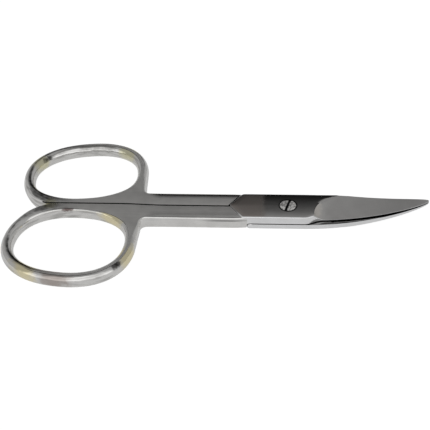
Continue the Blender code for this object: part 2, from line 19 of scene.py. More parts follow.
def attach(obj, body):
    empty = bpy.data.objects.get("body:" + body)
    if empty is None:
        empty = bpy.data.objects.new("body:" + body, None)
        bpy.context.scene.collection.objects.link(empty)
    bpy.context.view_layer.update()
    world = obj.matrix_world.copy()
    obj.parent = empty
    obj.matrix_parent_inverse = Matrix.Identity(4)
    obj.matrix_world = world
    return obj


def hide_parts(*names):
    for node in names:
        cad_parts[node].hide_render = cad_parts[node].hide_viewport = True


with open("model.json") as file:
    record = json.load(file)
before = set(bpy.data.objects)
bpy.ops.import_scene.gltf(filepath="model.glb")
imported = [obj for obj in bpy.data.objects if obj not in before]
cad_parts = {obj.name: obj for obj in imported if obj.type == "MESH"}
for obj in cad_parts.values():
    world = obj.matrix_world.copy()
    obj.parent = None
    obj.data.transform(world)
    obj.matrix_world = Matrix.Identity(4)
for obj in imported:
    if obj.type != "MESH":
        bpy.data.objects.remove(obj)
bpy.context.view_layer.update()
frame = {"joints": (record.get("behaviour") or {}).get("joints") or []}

# Where the pivot stands in the frame
PIVOT_X = frame["joints"][0]["pos_m"][0]

# Reach of the main points from the pivot, along the closed scissors
TIP_REACH = 0.0300
CROTCH_REACH = 0.0319
UPPER_SHOULDER_REACH = 0.0099
LOWER_SHOULDER_REACH = 0.0086
SHOULDER_POINT = 0.0029
HANDLE_END_REACH = 0.0062

# Heights of the stacked layers, from the table up
LOWER_PLATE_THICKNESS = 0.00124
JOINT_GAP = 0.00025
UPPER_PLATE_THICKNESS = 0.00195
PLATE_CROWN = 0.00012
RIDE_RISE = 0.00002
SHANK_CLEAR_OF_TABLE = 0.00008
SHANK_THICKNESS = 0.00310
SHANK_CROWN = 0.00012

# Widths on each side of the centre line, and the line between the closed shanks
JOINT_HALF_WIDTH = 0.00392
SHANK_SET_IN = 0.00005
SHANK_HALF_WIDTH = 0.00414
SHANK_WIDENING_START = 0.0075
SHANK_WIDENING_LENGTH = 0.0045
CENTRE_HALF_GAP = 0.000165
CENTRE_SHIFT = 0.00022
CENTRE_SHIFT_START = 0.0270
CENTRE_SHIFT_LENGTH = 0.0100
SHOULDER_GAP = 0.00036

# Finger bows: a squared oval of wire, tilted outwards at the front
BOW_HALF_LENGTH = 0.01308
BOW_HALF_WIDTH = 0.01050
BOW_INNER_OFFSET = 0.00075
BOW_TILT = math.radians(6.6)
BOW_SQUARENESS = 2.26
BOW_EGG_SHARE = 0.026
BOW_HALF_WIRE = 0.00129
BOW_THICKNESS = 0.00320
BOW_CREST_HALF_WIDTH = 0.00012
BOW_MIDDLE = (-(CROTCH_REACH + BOW_HALF_WIRE + BOW_HALF_LENGTH), BOW_HALF_WIDTH + BOW_INNER_OFFSET)
CROTCH_DEPTH = 0.00060
CROTCH_FILLET = 0.00130
FLAT_TOP_FADE = 0.00550

# Edge roundings
SHANK_EDGE = 0.00035
CENTRE_EDGE = 0.00006
BOW_HOLE_EDGE = 0.00045
PLATE_EDGE = 0.00022
SPINE_EDGE = 0.00005
INNER_EDGE = 0.00003
SHOULDER_ROUND = 0.00060
PLATE_CORNER = SHOULDER_ROUND + PLATE_EDGE
MITRE_LEAST_SHARE = 0.5
THIN_EDGE_SHARE = 0.6

# Blades: plan, upward bend, ground bevel and hollow inner face
BLADE_TAPER_START = 0.0030
BLADE_TAPER_POWER = 1.75
BLADE_TAPER_FALL = 0.68
EDGE_INSET = 0.00125
EDGE_INSET_POWER = 1.4
CHOIL_START = 0.0035
CHOIL_LENGTH = 0.0039
BEND_START = 0.0040
BEND_RADIUS = 0.0970
CUTTING_EDGE_THICKNESS = 0.00012
TIP_THICKNESS = 0.00030
TIP_BLUNT = 0.00006
UPPER_THINNING_POWER = 1.8
LOWER_THINNING_POWER = 0.8
BEVEL_START = 0.0056
BEVEL_SPINE_REACH = 0.0112
BEVEL_SPINE_SHARE = 0.915
BEVEL_EDGE_SHARE = -0.74
BEVEL_ARC_HEIGHT = 0.0065
BEVEL_ARC_MOST_SHARE = 0.99
BEVEL_EDGE_SETBACK = 0.0014
BEVEL_RUN_OUT = 0.0024
LEAST_GROUND_WIDTH = 0.00046
HOLLOW_DEPTH = 0.00012
HOLLOW_START = 0.0070
HOLLOW_FADE = 0.0050

# Pivot screw and its holes
SCREW_HEAD_RADIUS = 0.00185
SCREW_HEAD_RIM = 0.00065
SCREW_HEAD_EASE = 0.00010
SCREW_DOME = 0.00035
SCREW_HEAD_SINK = 0.00010
SCREW_SHAFT_RADIUS = 0.00115
SCREW_END_RECESS = 0.00010
SCREW_SLOT_WIDTH = 0.00055
SCREW_SLOT_DEPTH = 0.00055
SCREW_SLOT_ANGLE = math.radians(73.0)
PIVOT_CLEARANCE = 0.00010
HEAD_CLEARANCE = 0.00020

# How far a cutter runs past what it cuts, and how close two points are one
OVERRUN = 0.0020
WELD = 0.000001

# Facets
BOW_STEPS = 200
TRAVEL_STEPS = 4000
CENTRE_STEPS = 48
SHANK_STEPS = 30
FADE_STEPS = 10
WEB_SIDE_STEPS = 10
CROWN_STEPS = 10
ROUNDING_STEPS = 9
FILLET_STEPS = 10
BLADE_STEPS = 44
WIDTH_STEPS = 22
SIDE_STEPS = 14
RIM_STEPS = 5
PLATE_RINGS = 7
SEARCH_STEPS = 30
TURN_STEPS = 96
SHARP_ANGLE = math.radians(28)

LOWER_INNER_FACE = LOWER_PLATE_THICKNESS
UPPER_INNER_FACE = LOWER_PLATE_THICKNESS + JOINT_GAP
UPPER_FACE = UPPER_INNER_FACE + UPPER_PLATE_THICKNESS
SHANK_MIDDLE = SHANK_CLEAR_OF_TABLE + SHANK_THICKNESS / 2
QUARTER_TURN = math.pi / 2

# The finer facets stand a hair outside the solids' coarser ones, so the whole is a hair smaller
FIT = (0.99965, 0.99970, 0.99680)

# Sockets of a Mix node when it mixes colours
MIX_COLOUR_INPUTS = (0, 6, 7)
MIX_COLOUR_OUTPUT = 2

# Colours of the steel, of the marks on it, and of painted shade and painted reflections
WHITE = (1.0, 1.0, 1.0, 1.0)
SATIN_COLOUR = (0.635, 0.627, 0.612)
POLISHED_COLOUR = (0.76, 0.752, 0.736)
DULL_WARM_REFLECTION_COLOUR = (0.50, 0.455, 0.425, 1.0)
LINES_COLOUR = (0.30, 0.295, 0.28, 1.0)
GAP_SHADE_COLOUR = (0.04, 0.04, 0.04, 1.0)
SCREW_PITTED = (0.40, 0.39, 0.38, 1.0)
SCREW_BRIGHT = (0.95, 0.94, 0.92, 1.0)
SCREW_SHADE = (0.03, 0.03, 0.03, 1.0)
GOLD_REFLECTION_TINT = (0.86, 0.77, 0.49, 1.0)
OLIVE_REFLECTION_TINT = (0.72, 0.69, 0.48, 1.0)
ROSE_REFLECTION_TINT = (0.44, 0.385, 0.355, 1.0)
DIM_REFLECTION_TINT = (0.34, 0.335, 0.32, 1.0)
MAROON_REFLECTION_TINT = (0.09, 0.04, 0.036, 1.0)
PAINTED_DARK_TINT = (0.03, 0.028, 0.026, 1.0)
SIDE_PAINTED_DARK_TINT = (0.33, 0.325, 0.32, 1.0)
GROUND_REFLECTION_TINT = (0.70, 0.67, 0.63, 1.0)

# Roughness, and the share by which the clouds vary it
SATIN_ROUGHNESS = 0.55
POLISHED_ROUGHNESS = 0.09
DULL_ROUGHNESS = 0.28
RUBBED_ROUGHNESS = 0.16
SCREW_ROUGHNESS = (0.42, 0.62)
STEEL_ROUGHNESS_SWING = 0.15
BOW_ROUGHNESS_SWING = 0.20

# Shares by which the clouds and the grinding lines vary a colour
STEEL_CLOUDS = 0.04
POLISHED_CLOUDS = 0.06
SATIN_CLOUDS = 0.07

# How deep the marks are, in bump units
BUMP_UNIT = 0.001
GRAIN_DEPTH = 0.004
WAVE_DEPTH = 0.24
LINES_DEPTH = 0.016
PIT_DEPTH = 0.12

# Noises: scale along x, y and z, then (detail, roughness), then the values between which they are used
ALONG_LINES = (60.0, 9000.0, 9000.0)
ACROSS_LINES = (9000.0, 200.0, 9000.0)
CLOUD_SCALE = (400.0,) * 3
WAVE_SCALE = (260.0,) * 3
PIT_SCALE = (1900.0,) * 3
RAGGED_SCALE = 700.0
LINE_NOISE = (4.0, 0.6)
CLOUD_NOISE = (3.0, 0.5)
SPOT_NOISE = (3.0, 0.6)
WAVE_NOISE = (2.0, 0.5)
NOISE_SPAN = (0.3, 0.7)
TWO_NOISES_SPAN = (0.7, 1.3)
PIT_SPAN = (0.38, 0.62)

# Satin flats of the shanks and webs: how level they are, and from where they run
SATIN_LEVEL = (0.955, 0.992)
SATIN_FROM_PIVOT = (-0.0560, -0.0440)

# The plate's dull end, with a painted warm reflection, and the shanks' outer edges, rubbed smooth
DULL_FROM_PIVOT = 0.0056
DULL_FADE = 0.0021
DULL_RAGGED = 0.0010
RUBBED_WIDTH = 0.0026
RUBBED_FADE = 0.0040

# Polishing lines round the bows
LINES_AROUND = 2.4
LINES_ACROSS = 26.0
LINES_DOWN = 1500.0
LINES_SHIFT = 7.3
LINES_FADE = 0.0012
LINES_LEVEL = 0.55
LINES_DARKEST = 0.30
LINES_SHARE = 0.55

# Painted shade in the gap between the handles and in the pocket, and a painted dark streak on the front
# shank
CREVICE_REACH = 0.0009
CREVICE_FADE_SHARE = 0.8
CREVICE_DEPTH = 0.0006
GAP_FACING_Y = (0.35, 0.70)
POCKET_PLACE = (0.0034, 0.0019, 0.0026)
POCKET_REACH = 0.0036
POCKET_FACING_Z = (0.40, 0.75)
POCKET_FACING_Y = (-0.30, -0.10)
STREAK_PLACE = (0.0018, 0.0, 0.00235)
STREAK_REACH = (0.0070, 0.00040)
STREAK_SPAN = (0.2, 1.0)
STREAK_SHARE = 0.60
STREAK_FACING_Y = (-0.95, -0.80)

# Painted shade on the screw, in its slot and round the head's rim, as shares of the slot's width and of the
# head's radius
SLOT_SHADE_SPAN = (0.49, 0.54)
RIM_SHADE_SPAN = (0.91, 0.98)

# Painted patches of reflection and shade: place, radius and colour, and how ragged and how soft they are
SPOT_SCALE = 1.8
SPOT_SWING = (1.6, 0.2)
SPOT_SPAN = (0.35, 0.95)
BOW_REFLECTION_SHARE = 0.85
BOW_REFLECTION_TINTS = (
    ((-0.0420, 0.0150, 0.0028), 0.0034, OLIVE_REFLECTION_TINT),
    ((-0.0220, 0.0193, 0.0028), 0.0034, OLIVE_REFLECTION_TINT),
    ((-0.0225, -0.0039, 0.0028), 0.0044, GOLD_REFLECTION_TINT),
    ((-0.0380, -0.0197, 0.0027), 0.0044, GOLD_REFLECTION_TINT),
    ((-0.0176, -0.0159, 0.0028), 0.0038, GOLD_REFLECTION_TINT),
    ((-0.0319, -0.0218, 0.0026), 0.0040, ROSE_REFLECTION_TINT),
    ((-0.0371, -0.0001, 0.0028), 0.0024, OLIVE_REFLECTION_TINT),
    # Painted dim patches that darken the highlight on the far bow's crown
    ((-0.0327, 0.0217, 0.0036), 0.0026, DIM_REFLECTION_TINT),
    ((-0.0298, 0.0221, 0.0036), 0.0028, DIM_REFLECTION_TINT),
    ((-0.0270, 0.0219, 0.0036), 0.0026, DIM_REFLECTION_TINT),
    # Painted dark and maroon reflections: small spots on the bows
    ((-0.0411, 0.0160, 0.0030), 0.0011, PAINTED_DARK_TINT),
    ((-0.0405, 0.0169, 0.0030), 0.0010, PAINTED_DARK_TINT),
    ((-0.0200, -0.0189, 0.0031), 0.0012, PAINTED_DARK_TINT),
    ((-0.0193, -0.0184, 0.0032), 0.0011, PAINTED_DARK_TINT),
    ((-0.0332, -0.0020, 0.0034), 0.0012, MAROON_REFLECTION_TINT),
    ((-0.0323, -0.0021, 0.0034), 0.0012, MAROON_REFLECTION_TINT),
)
# A painted dark reflection on the near side wall by the upper plate's shoulder
SIDE_PAINTED_DARK_TINTS = (((0.0034, -0.0013, 0.0034), 0.0030, SIDE_PAINTED_DARK_TINT),)
# A painted light reflection on the blade's ground bevel
GROUND_REFLECTION_TINTS = (((0.0209, -0.0012, 0.0030), 0.0026, GROUND_REFLECTION_TINT),)

# The plainer steels: name, colour, roughness, grinding lines and their depth, painted patches of reflection,
# dulled with a painted warm reflection or not
STEELS = (
    ("plate_steel", (0.56, 0.55, 0.54), 0.07, ALONG_LINES, 0.0006, (), True),
    ("side_steel", (0.85, 0.85, 0.856), 0.16, ALONG_LINES, 0.004, SIDE_PAINTED_DARK_TINTS, False),
    ("ground_steel", (0.55, 0.542, 0.532), 0.38, ACROSS_LINES, 0.006, GROUND_REFLECTION_TINTS, False),
    # Inner faces and bores: darker colours, painted shade between the blades and in the holes
    ("inner_steel", (0.28, 0.278, 0.275), 0.09, ACROSS_LINES, 0.001, (), False),
    ("bore_steel", (0.12, 0.12, 0.118), 0.40, ACROSS_LINES, 0.001, (), False),
)

# Brightness of the room, as (height, level) from the horizon at 0 to overhead at 1, and where its dark
# part lies in the direction's x and y
ROOM_BEHIND = (
    (0.0, 0.020), (0.50, 0.008), (0.56, 0.012), (0.60, 0.032), (0.656, 0.085),
    (0.70, 0.155), (0.74, 0.31), (0.82, 0.36), (0.92, 0.34), (1.0, 0.30),
)
ROOM_FRONT = (
    (0.0, 0.76), (0.25, 0.84), (0.50, 0.66), (0.70, 0.72), (0.84, 0.95), (0.93, 1.0), (1.0, 0.90),
)
ROOM_FRONT_GAIN = 1.3
ROOM_BESIDE = 0.42
ROOM_SEEN = 1.1
DARK_OFF_MIDDLE = 0.06
DARK_SPAN_X = (0.10, 0.50)
DARK_SPAN_Y = (-0.64, -0.28)

# The table: size, (reflectance, glow) to the eye and in reflections, and reflectance otherwise
TABLE_RADIUS = 30.0
TABLE_SEGMENTS = 64
TABLE_DROP = 0.00002
TABLE_SEEN = (0.30, 0.90)
TABLE_MIRRORED = (0.45, 0.38)
TABLE_PLAIN = 0.8

# The camera, whose place is given from the pivot's place on the table
CAMERA_SENSOR = 36.0
CAMERA_LENS = 70.0
CAMERA_CLIP_START = 0.01
CAMERA_PLACE = (-0.00476, -0.138465, 0.121575)
CAMERA_RIGHT = (0.99807, 0.05437, -0.03003)
CAMERA_UP = (-0.01319, 0.65796, 0.75294)
CAMERA_BACK = (0.06070, -0.75109, 0.65741)

# Material slots of a half, in order
HANDLE_FACE = 0
PLATE_FACE = 1
SIDE_FACE = 2
GROUND_FACE = 3
INNER_FACE = 4
BORE_FACE = 5

Rim = namedtuple("Rim", "x y inset drop under", defaults=(None,))
Half = namedtuple("Half", "side inner_face outward plate crown shoulder other_shoulder thinning")
UPPER = Half(
    side=-1,
    inner_face=UPPER_INNER_FACE,
    outward=1,
    plate=UPPER_PLATE_THICKNESS,
    crown=PLATE_CROWN,
    shoulder=UPPER_SHOULDER_REACH,
    other_shoulder=LOWER_SHOULDER_REACH,
    thinning=UPPER_THINNING_POWER,
)
LOWER = Half(
    side=1,
    inner_face=LOWER_INNER_FACE,
    outward=-1,
    plate=LOWER_PLATE_THICKNESS,
    crown=0.0,
    shoulder=LOWER_SHOULDER_REACH,
    other_shoulder=UPPER_SHOULDER_REACH,
    thinning=LOWER_THINNING_POWER,
)


def clamped(value, low=0.0, high=1.0):
    return max(low, min(high, value))


def eased(value):
    """A smooth step from 0 to 1."""
    value = clamped(value)
    return value * value * (3 - 2 * value)


def mixed(first, second, share):
    return first + (second - first) * share


def spaced(first, last, steps):
    return [mixed(first, last, step / steps) for step in range(steps + 1)]


def mesh_object(name, mesh):
    """An object from a bmesh, with its faces turned outwards."""
    bmesh.ops.recalc_face_normals(mesh, faces=mesh.faces)
    data = bpy.data.meshes.new(name)
    mesh.to_mesh(data)
    mesh.free()
    obj = bpy.data.objects.new(name, data)
    bpy.context.scene.collection.objects.link(obj)
    return obj


def combined(target, operation, other):
    """Applies one Boolean to the target, and removes the other object."""
    modifier = target.modifiers.new(operation.title(), "BOOLEAN")
    modifier.operation = operation
    modifier.object = other
    modifier.solver = "EXACT"
    graph = bpy.context.evaluated_depsgraph_get()
    result = bpy.data.meshes.new_from_object(target.evaluated_get(graph))
    target.modifiers.clear()
    target.data = result
    bpy.data.objects.remove(other, do_unlink=True)


def inward_normals(points):
    """A mitred unit normal at each point of a closed loop, to the left of its travel."""
    normals = []
    for index, point in enumerate(points):
        before = (point - points[index - 1]).normalized()
        after = (points[(index + 1) % len(points)] - point).normalized()
        normal = Vector((-before.y - after.y, before.x + after.x))
        mitre = normal.length / 2
        normals.append(normal.normalized() / max(mitre, MITRE_LEAST_SHARE))
    return normals


def slab(loops, profile):
    """A closed slab over plan loops that keep their material on the left.

    The profile gives (inset, height) pairs for one rim point, from the bottom face to the top face.
    """
    mesh = bmesh.new()
    ends = [], []
    for loop in loops:
        points = [Vector((rim.x, rim.y)) for rim in loop]
        normals = inward_normals(points)
        columns = []
        for rim, point, normal in zip(loop, points, normals):
            places = [(point + normal * inset, height) for inset, height in profile(rim)]
            columns.append([mesh.verts.new((*place, height)) for place, height in places])
        for first, second in zip(columns, columns[1:] + columns[:1]):
            for level in range(len(first) - 1):
                mesh.faces.new((first[level], second[level], second[level + 1], first[level + 1]))
            for end, level in zip(ends, (0, -1)):
                end.append(mesh.edges.get((first[level], second[level])))
    for end in ends:
        bmesh.ops.triangle_fill(mesh, edges=end, use_beauty=True)
    bmesh.ops.recalc_face_normals(mesh, faces=mesh.faces)
    return mesh


def diced(mesh, axis, places, from_x):
    """Cuts edges into the faces beyond from_x, so that they can be curved."""
    for place in places:
        faces = [face for face in mesh.faces if face.calc_center_median().x > from_x]
        edges = {edge for face in faces for edge in face.edges}
        verts = {vert for face in faces for vert in face.verts}
        bmesh.ops.bisect_plane(
            mesh, geom=[*verts, *edges, *faces], plane_co=axis * place, plane_no=axis, dist=WELD
        )


def filleted(corners, steps):
    """Rounds the corners of an open run of (point, radius) pairs."""
    points = [corners[0][0]]
    for (before, _), (corner, radius), (after, _) in zip(corners, corners[1:], corners[2:]):
        to_before = (before - corner).normalized()
        to_after = (after - corner).normalized()
        half_angle = to_before.angle(to_after) / 2
        middle = corner + (to_before + to_after).normalized() * radius / math.sin(half_angle)
        first = corner + to_before * radius / math.tan(half_angle) - middle
        last = corner + to_after * radius / math.tan(half_angle) - middle
        turn = first.angle_signed(last)
        for share in spaced(0, 1, steps):
            points.append(middle + Matrix.Rotation(-turn * share, 2) @ first)
    points.append(corners[-1][0])
    return points


def bow_point(turn, offset):
    """A point of the squared oval, moved outwards from the wire's middle line by the offset."""

    def on_middle_line(angle):
        cosine, sine = math.cos(angle), math.sin(angle)
        x = BOW_HALF_LENGTH * math.copysign(abs(cosine) ** (2 / BOW_SQUARENESS), cosine)
        v = BOW_HALF_WIDTH * math.copysign(abs(sine) ** (2 / BOW_SQUARENESS), sine)
        return Vector((x, v * (1 + BOW_EGG_SHARE * x / BOW_HALF_LENGTH)))

    little = math.pi / TRAVEL_STEPS
    travel = on_middle_line(turn + little) - on_middle_line(turn - little)
    outward = Vector((travel.y, -travel.x)).normalized()
    place = Matrix.Rotation(BOW_TILT, 2) @ (on_middle_line(turn) + outward * offset)
    return place + Vector(BOW_MIDDLE)


def shank_half_width(x):
    """Half the width over both closed shanks, which narrow into the joint."""
    widened = eased((-x - SHANK_WIDENING_START) / SHANK_WIDENING_LENGTH)
    return mixed(JOINT_HALF_WIDTH - SHANK_SET_IN, SHANK_HALF_WIDTH, widened)


def centre_edge(half, x):
    """Where a handle ends along the centre, which drifts to the lower half's side between the bows."""
    drifted = eased((-x - CENTRE_SHIFT_START) / CENTRE_SHIFT_LENGTH)
    return CENTRE_HALF_GAP + half.side * CENTRE_SHIFT * drifted


def centre_turn(half):
    """The turn at which the outside of a bow meets its centre edge."""
    outer, inner = math.pi, 3 * QUARTER_TURN
    for _ in range(SEARCH_STEPS):
        middle = (outer + inner) / 2
        point = bow_point(middle, BOW_HALF_WIRE)
        if point.y > centre_edge(half, point.x):
            outer = middle
        else:
            inner = middle
    return outer


def handle_loops(half):
    """The outside and the finger hole of a handle, as rims in (x, v)."""
    full_inset = BOW_HALF_WIRE - BOW_CREST_HALF_WIDTH
    full_drop = BOW_THICKNESS / 2

    def rim(point, edge, share, under=None):
        return Rim(point.x, point.y, mixed(edge, full_inset, share), mixed(edge, full_drop, share), under)

    turns = [2 * math.pi * (step + 0.5) / BOW_STEPS for step in range(BOW_STEPS)]
    hole = []
    for turn in reversed(turns):
        point = bow_point(turn, -BOW_HALF_WIRE)
        share = eased((point.y - BOW_INNER_OFFSET - BOW_HALF_WIRE) / FLAT_TOP_FADE)
        hole.append(rim(point, BOW_HOLE_EDGE, share, under=(full_inset, full_drop)))

    front = bow_point(-BOW_TILT, BOW_HALF_WIRE)
    shank_root = Vector((front.x, shank_half_width(front.x)))
    widened_x = -SHANK_WIDENING_START - SHANK_WIDENING_LENGTH
    shank = [Vector((x, shank_half_width(x))) for x in spaced(-HANDLE_END_REACH, widened_x, SHANK_STEPS)]
    crotch = filleted([(shank[-1], 0), (shank_root, CROTCH_FILLET), (front, 0)], FILLET_STEPS)
    web_top = shank_root.y + CROTCH_DEPTH
    last_turn = centre_turn(half)
    outside = []
    for x in spaced(bow_point(last_turn, BOW_HALF_WIRE).x, -HANDLE_END_REACH, CENTRE_STEPS):
        outside.append(rim(Vector((x, centre_edge(half, x))), CENTRE_EDGE, 0))
    shares = spaced(0, 1, WEB_SIDE_STEPS)[1:-1]
    web_side = [crotch[-1] * share + crotch[-2] * (1 - share) for share in shares]
    for point in shank + crotch[1:-1] + web_side:
        share = eased((point.y - web_top) / (front.y - web_top))
        outside.append(rim(point, SHANK_EDGE, share))
    for turn in turns:
        if turn < last_turn - math.pi / BOW_STEPS:
            point = bow_point(turn, BOW_HALF_WIRE)
            above = point.y - centre_edge(half, point.x)
            share = eased(above / FLAT_TOP_FADE) if turn > QUARTER_TURN else 1
            outside.append(rim(point, CENTRE_EDGE, share))
    return outside, hole


def handle_profile(rim):
    half_height = BOW_THICKNESS / 2
    pairs = []
    for step in range(-ROUNDING_STEPS, ROUNDING_STEPS + 1):
        angle = QUARTER_TURN * step / ROUNDING_STEPS
        inset, drop = rim.under if rim.under and step < 0 else (rim.inset, rim.drop)
        height = math.copysign(half_height - drop, angle) + drop * math.sin(angle) if step else 0.0
        pairs.append((inset * (1 - math.cos(angle)), height))
    return pairs


def handle(half):
    """Bow, web and shank, from the finger hole to under the joint plate."""
    mesh = slab(handle_loops(half), handle_profile)
    shank_from = -CROTCH_REACH - FLAT_TOP_FADE
    middle = (SHANK_HALF_WIDTH + CENTRE_HALF_GAP) / 2
    half_width = middle - CENTRE_HALF_GAP
    crown_lines = spaced(middle - half_width, middle + half_width, CROWN_STEPS)[1:-1]
    diced(mesh, Vector((0, 1, 0)), crown_lines, shank_from)
    diced(mesh, Vector((1, 0, 0)), spaced(shank_from, -CROTCH_REACH + FLAT_TOP_FADE, FADE_STEPS), shank_from)
    bmesh.ops.triangulate(mesh, faces=mesh.faces)
    bow_half = BOW_THICKNESS / 2
    for vert in mesh.verts:
        on_shank = eased((vert.co.x - shank_from) / (2 * FLAT_TOP_FADE))
        level = vert.co.z / bow_half
        across = clamped(abs(vert.co.y - middle) / half_width)
        crown = SHANK_CROWN * on_shank * across**2
        half_height = mixed(bow_half, SHANK_THICKNESS / 2, on_shank) - crown
        vert.co.z = mixed(bow_half, SHANK_MIDDLE, on_shank) + level * half_height
        vert.co.y *= half.side
    obj = mesh_object("handle", mesh)
    combined(obj, "DIFFERENCE", shoulder_pocket(half))
    return obj


def shoulder_pocket(half):
    """What a handle gives up to the other half's joint plate, with its clearance."""
    reach = half.other_shoulder + SHOULDER_GAP
    beyond = JOINT_HALF_WIDTH + OVERRUN
    slope = SHOULDER_POINT / JOINT_HALF_WIDTH
    side_x = -reach - SHOULDER_POINT + slope * beyond
    plan = [
        Vector((-reach - SHOULDER_POINT, 0)),
        Vector((side_x, -beyond)),
        Vector((OVERRUN, -beyond)),
        Vector((OVERRUN, beyond)),
        Vector((side_x, beyond)),
    ]
    floor = half.inner_face - half.outward * RIDE_RISE
    ceiling = floor - half.outward * (BOW_THICKNESS + OVERRUN)
    mesh = bmesh.new()
    face = mesh.faces.new([mesh.verts.new((point.x, point.y, floor)) for point in plan])
    point = face.verts[0]
    made = bmesh.ops.extrude_face_region(mesh, geom=[face], use_keep_orig=True)
    moved = [item for item in made["geom"] if isinstance(item, bmesh.types.BMVert)]
    bmesh.ops.translate(mesh, verts=moved, vec=(0, 0, ceiling - floor))
    bmesh.ops.recalc_face_normals(mesh, faces=mesh.faces)
    slanted = [edge for edge in face.edges if point in edge.verts]
    bmesh.ops.bevel(
        mesh, geom=slanted, offset=SHOULDER_ROUND, segments=FILLET_STEPS, profile=0.5, affect="EDGES"
    )
    return mesh_object("shoulder_pocket", mesh)


def taper_share(x):
    """How far along the blade's taper x lies, with 1 at the tip."""
    return clamped((x - BLADE_TAPER_START) / (TIP_REACH - BLADE_TAPER_START))


def spine_half_width(x):
    return JOINT_HALF_WIDTH * (1 - taper_share(x) ** BLADE_TAPER_POWER) ** BLADE_TAPER_FALL


def edge_place(x):
    """Where the cutting edge runs, on the side away from the spine."""
    begun = eased((x - CHOIL_START) / CHOIL_LENGTH)
    inset = EDGE_INSET * (1 - taper_share(x) ** EDGE_INSET_POWER)
    return -max(0.0, spine_half_width(x) - begun * inset)


def spine_thickness(half, x):
    """Depth of the ground blade at its spine, which is the plate's own where the bevel reaches it."""
    left = max(0.0, (TIP_REACH - x) / (TIP_REACH - BEVEL_SPINE_REACH))
    plate = half.plate - half.crown
    return TIP_THICKNESS + (plate - TIP_THICKNESS) * left**half.thinning


def plate_depth(half, s):
    """Depth of the plate's outer face, which is a little crowned."""
    return half.plate - half.crown * (s / JOINT_HALF_WIDTH) ** 2


def bevel_foot(s):
    """How far along the grind leaves the plate, which is along an arc."""
    arc_foot = BEVEL_EDGE_SHARE * JOINT_HALF_WIDTH
    rise = clamped((s - arc_foot) / BEVEL_ARC_HEIGHT, 0, BEVEL_ARC_MOST_SHARE)
    past_arc = clamped((arc_foot - s) / (arc_foot + JOINT_HALF_WIDTH))
    spine_rise = (BEVEL_SPINE_SHARE * JOINT_HALF_WIDTH - arc_foot) / BEVEL_ARC_HEIGHT
    spine_rise = min(spine_rise, BEVEL_ARC_MOST_SHARE)
    arc_length = (BEVEL_SPINE_REACH - BEVEL_START) / (1 - math.sqrt(1 - spine_rise**2))
    return BEVEL_START + arc_length * (1 - math.sqrt(1 - rise**2)) - BEVEL_EDGE_SETBACK * past_arc**2


def foot_across(share):
    """The grind's foot at a share of the blade's width, from the cutting edge to the spine."""
    x = BEVEL_START
    for _ in range(SEARCH_STEPS):
        x = bevel_foot(mixed(edge_place(x), spine_half_width(x), share))
    return x


def bevel_depth(half, x, s):
    """Depth of the ground bevel: a wedge from the cutting edge to the spine, eased in from its foot."""

    def wedge(place):
        edge = edge_place(place)
        width = max(spine_half_width(place) - edge, LEAST_GROUND_WIDTH)
        slope = (spine_thickness(half, place) - CUTTING_EDGE_THICKNESS) / width
        return CUTTING_EDGE_THICKNESS + slope * (s - edge)

    foot = bevel_foot(s)
    drop = max(0.0, plate_depth(half, s) - wedge(foot))
    left = clamped(1 - (x - foot) / BEVEL_RUN_OUT)
    return min(plate_depth(half, s), wedge(x) + drop * left**2)


def hollow(x, s):
    """How deep the inner face is hollowed, between the cutting edge and the spine."""
    width = max(spine_half_width(x) - edge_place(x), INNER_EDGE)
    across = clamped((s - edge_place(x)) / width)
    begun = eased((x - HOLLOW_START) / HOLLOW_FADE) * eased((TIP_REACH - x) / HOLLOW_FADE)
    return HOLLOW_DEPTH * 4 * across * (1 - across) * begun


def bend(x):
    """How far the blades have curved up, away from the table, at x."""
    past = max(0.0, x - BEND_START)
    return BEND_RADIUS - math.sqrt(BEND_RADIUS**2 - past**2)


class BladeMesh:
    """A mesh under construction, in one half's blade coordinates."""

    def __init__(self, half):
        self.half = half
        self.mesh = bmesh.new()

    def vert(self, x, s, t):
        half = self.half
        return self.mesh.verts.new((x, -half.side * s, half.inner_face + half.outward * t + bend(x)))

    def plan(self, vert):
        return Vector((vert.co.x, -self.half.side * vert.co.y))

    def strip(self, first, second, surface, closed=False):
        """Faces between two rows of vertices, which may share some of them."""
        pairs = list(zip(first, second))
        ends = pairs[1:] + (pairs[:1] if closed else [])
        for (a, b), (c, d) in zip(pairs, ends):
            corners = list(dict.fromkeys((a, b, d, c)))
            if len(corners) > 2:
                self.mesh.faces.new(corners).material_index = surface

    def level(self, ring, radius, depth):
        """A round ring in step with another, at one depth."""
        places = [self.plan(vert).normalized() * radius for vert in ring]
        return [self.vert(place.x, place.y, depth) for place in places]

    def disc(self, outer, radius, depth, surface):
        """Fills from an outline in to a round hole, and returns the hole's ring."""
        last = outer
        for share in spaced(1, 0, PLATE_RINGS)[1:]:
            ring = []
            for vert in outer:
                plan = self.plan(vert)
                place = plan.normalized() * mixed(radius, plan.length, share)
                ring.append(self.vert(place.x, place.y, depth(place.y)))
            self.strip(last, ring, surface, closed=True)
            last = ring
        return last


def wall_profile(drop, inset, top):
    """(inset, depth) pairs up a side wall, from the inner face's rounding to the outer face's."""
    angles = [QUARTER_TURN * share for share in spaced(0, 1, RIM_STEPS)]
    low = [(drop * (1 - math.sin(angle)), drop * (1 - math.cos(angle))) for angle in angles]
    high = [(inset * (1 - math.cos(angle)), top - inset * (1 - math.sin(angle))) for angle in angles]
    return low + high


